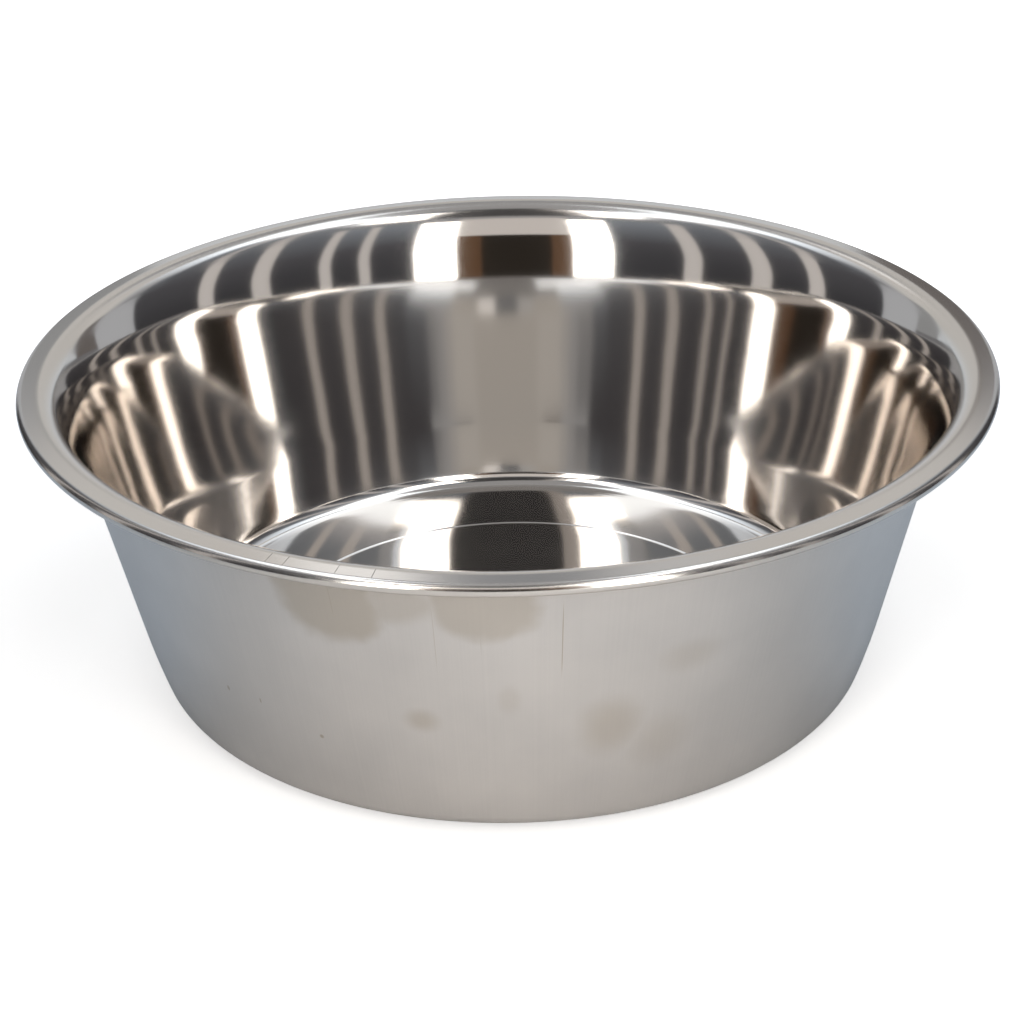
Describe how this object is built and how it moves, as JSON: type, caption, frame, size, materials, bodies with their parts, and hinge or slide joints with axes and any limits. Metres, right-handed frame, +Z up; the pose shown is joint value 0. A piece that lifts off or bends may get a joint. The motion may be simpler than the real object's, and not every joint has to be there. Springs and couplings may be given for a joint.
{
  "type": "dog bowl",
  "caption": "Round pressed stainless steel dog bowl: a flat stamped base, a leaning wall that flares out towards the top, and a narrow rim with a rolled edge.",
  "frame": {"origin": "on the ground at the centre of the flat base disc", "axes": "+Z up along the axis of the bowl; X and Y are free because the bowl is round"},
  "size_m": [0.3, 0.3, 0.1013],
  "materials": {
    "stainless_steel": "polished inside and on the rim, satin outside"
  },
  "bodies": {
    "root": {"bowl": "stainless_steel"}
  },
  "joints": []
}
